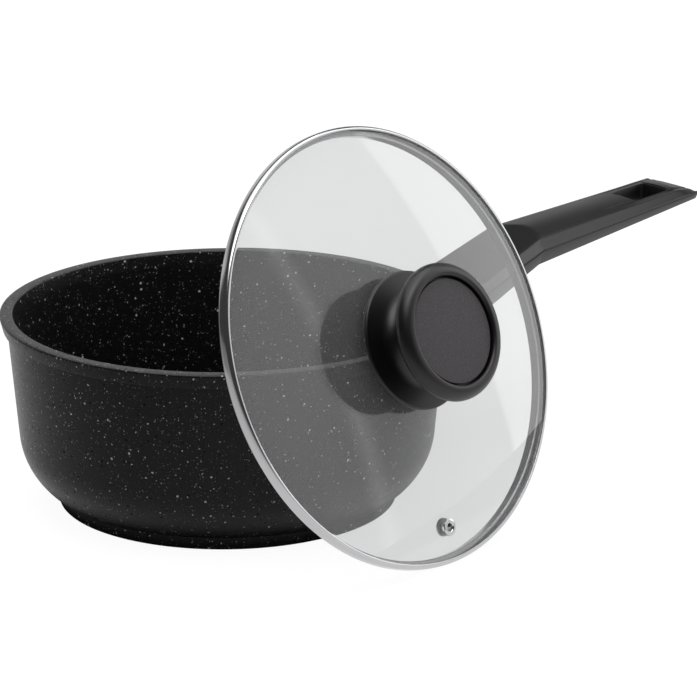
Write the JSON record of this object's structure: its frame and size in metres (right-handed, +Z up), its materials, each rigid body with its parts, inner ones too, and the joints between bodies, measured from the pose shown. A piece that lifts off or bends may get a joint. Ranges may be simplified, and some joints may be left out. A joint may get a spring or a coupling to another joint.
{
  "type": "saucepan with glass lid",
  "caption": "Cast non-stick saucepan with a bent, slotted side handle and a domed, steel-banded glass lid with a waisted knob, leaning on its rim.",
  "frame": {"origin": "centre of the pan's underside, on the surface that it stands on", "axes": "+Z up along the pan's axis, +X along the handle; the lid leans on the rim from the -Y side"},
  "size_m": [0.4067, 0.2598, 0.1892],
  "materials": {
    "coated_casting": "cast aluminium under a satin black non-stick coating with fine white and dark speckles",
    "base_steel": "turned magnetic steel disc pressed into the underside",
    "bakelite": "moulded black phenolic with a fine satin grain",
    "disc_plastic": "dark grey moulded disc with a fine sparkle grain",
    "polished_steel": "polished rolled stainless steel",
    "fastener_steel": "plain stainless steel fastener",
    "brass": "plain turned brass",
    "silicone": "translucent white food-grade silicone",
    "lid_glass": "clear tempered glass with a faint grey tint"
  },
  "bodies": {
    "pan": {"pan_body": "coated_casting", "base_plate": "base_steel", "handle_body": "bakelite", "handle_screw": "fastener_steel", "handle_lock_washer": "fastener_steel"},
    "lid": {"lid_glass": "lid_glass", "lid_rim_band": "polished_steel", "vent_eyelet": "polished_steel", "vent_washer": "polished_steel", "knob_body": "bakelite", "knob_disc": "disc_plastic", "knob_gasket": "silicone", "knob_insert": "brass", "knob_screw": "fastener_steel", "knob_seal_washer": "silicone", "knob_steel_washer": "fastener_steel"}
  },
  "joints": [
    {"name": "lid_lift", "type": "slide", "parent": "pan", "child": "lid", "axis": [0, 0, 1], "range_m": [0, 0.15]}
  ]
}
